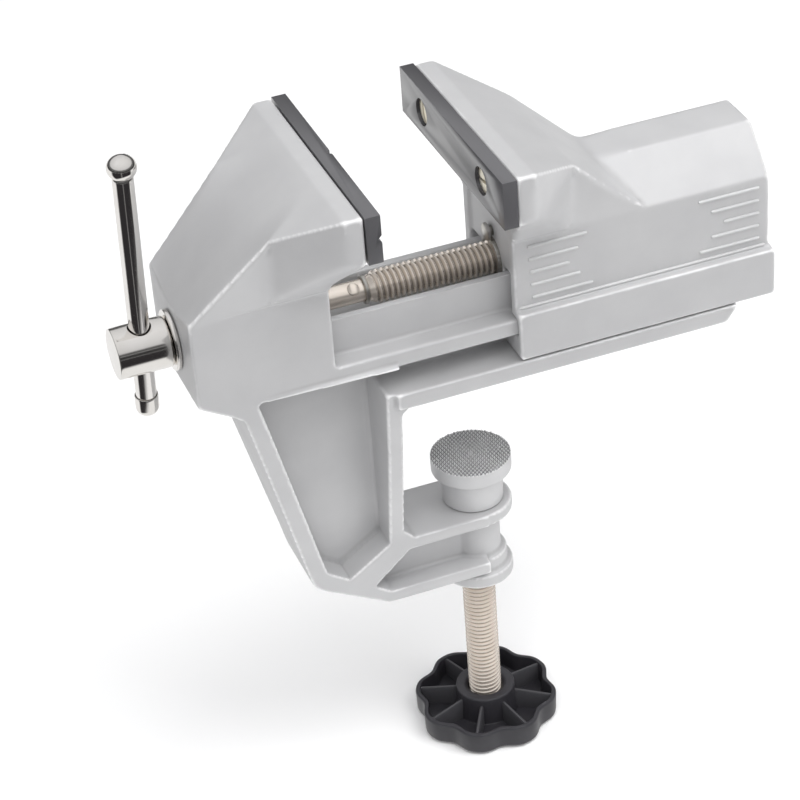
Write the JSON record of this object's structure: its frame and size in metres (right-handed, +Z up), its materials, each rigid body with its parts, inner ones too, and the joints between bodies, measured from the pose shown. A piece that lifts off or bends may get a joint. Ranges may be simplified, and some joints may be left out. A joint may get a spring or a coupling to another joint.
{
  "type": "bench vise",
  "caption": "Clamp-on bench vise with a fixed jaw, a screw-driven sliding jaw, a T-handle and a table clamp with a knurled pad and lobed knob.",
  "frame": {"origin": "on the table seat, the underside of the beam, where the clamp screw's axis crosses it", "axes": "+X from the handle to the rear of the moving jaw, +Z up away from the table, Y across the jaws"},
  "size_m": [0.2274, 0.09, 0.2704],
  "materials": {
    "casting": "satin silver-grey paint on a fine cast surface",
    "jaw_plate": "black satin",
    "plate_screw": "pale plated",
    "steel": "machined",
    "screw_nickel": "warm nickel plate",
    "handle_chrome": "bright plate",
    "knob_plastic": "black moulded"
  },
  "bodies": {
    "frame": {"frame_casting": "casting", "fixed_jaw_plate": "jaw_plate", "fixed_plate_screw_near": "plate_screw", "fixed_plate_screw_far": "plate_screw"},
    "moving_jaw": {"moving_jaw_casting": "casting", "moving_jaw_plate": "jaw_plate", "moving_plate_screw_near": "plate_screw", "moving_plate_screw_far": "plate_screw", "lead_nut": "steel", "nut_lock_screw": "steel"},
    "lead_screw": {"lead_screw": "screw_nickel", "thrust_washer": "handle_chrome", "rear_washer": "steel", "retaining_clip": "steel", "thread_stop_ring": "steel", "stop_pin": "steel"},
    "handle": {"handle_bar": "handle_chrome", "handle_end_cap": "handle_chrome"},
    "clamp_pad": {"clamp_pad": "casting", "pad_snap_ring": "steel"},
    "clamp_screw": {"clamp_screw": "screw_nickel", "clamp_knob": "knob_plastic", "knob_nut": "steel"}
  },
  "joints": [
    {"name": "jaw_slide", "type": "slide", "parent": "frame", "child": "moving_jaw", "axis": [1, 0, 0], "range_m": [-0.0405, 0.019]},
    {"name": "spindle_turn", "type": "hinge", "parent": "frame", "child": "lead_screw", "pos_m": [-0.1, 0, 0.0339], "axis": [1, 0, 0], "range_deg": [-3600, 7400]},
    {"name": "handle_slide", "type": "slide", "parent": "lead_screw", "child": "handle", "axis": [0, 0.1115, -0.9938], "range_m": [-0.0108, 0.056]},
    {"name": "clamp_slide", "type": "slide", "parent": "frame", "child": "clamp_pad", "axis": [0, 0, 1], "range_m": [0, 0.04]},
    {"name": "clamp_screw_turn", "type": "hinge", "parent": "clamp_pad", "child": "clamp_screw", "pos_m": [0, 0, -0.1], "axis": [0, 0, 1], "range_deg": [-10, 8300]}
  ],
  "couplings": [
    {"joint": "spindle_turn", "follows": "jaw_slide", "rad_per_m": -3141.6},
    {"joint": "clamp_screw_turn", "follows": "clamp_slide", "rad_per_m": 3590.4}
  ]
}
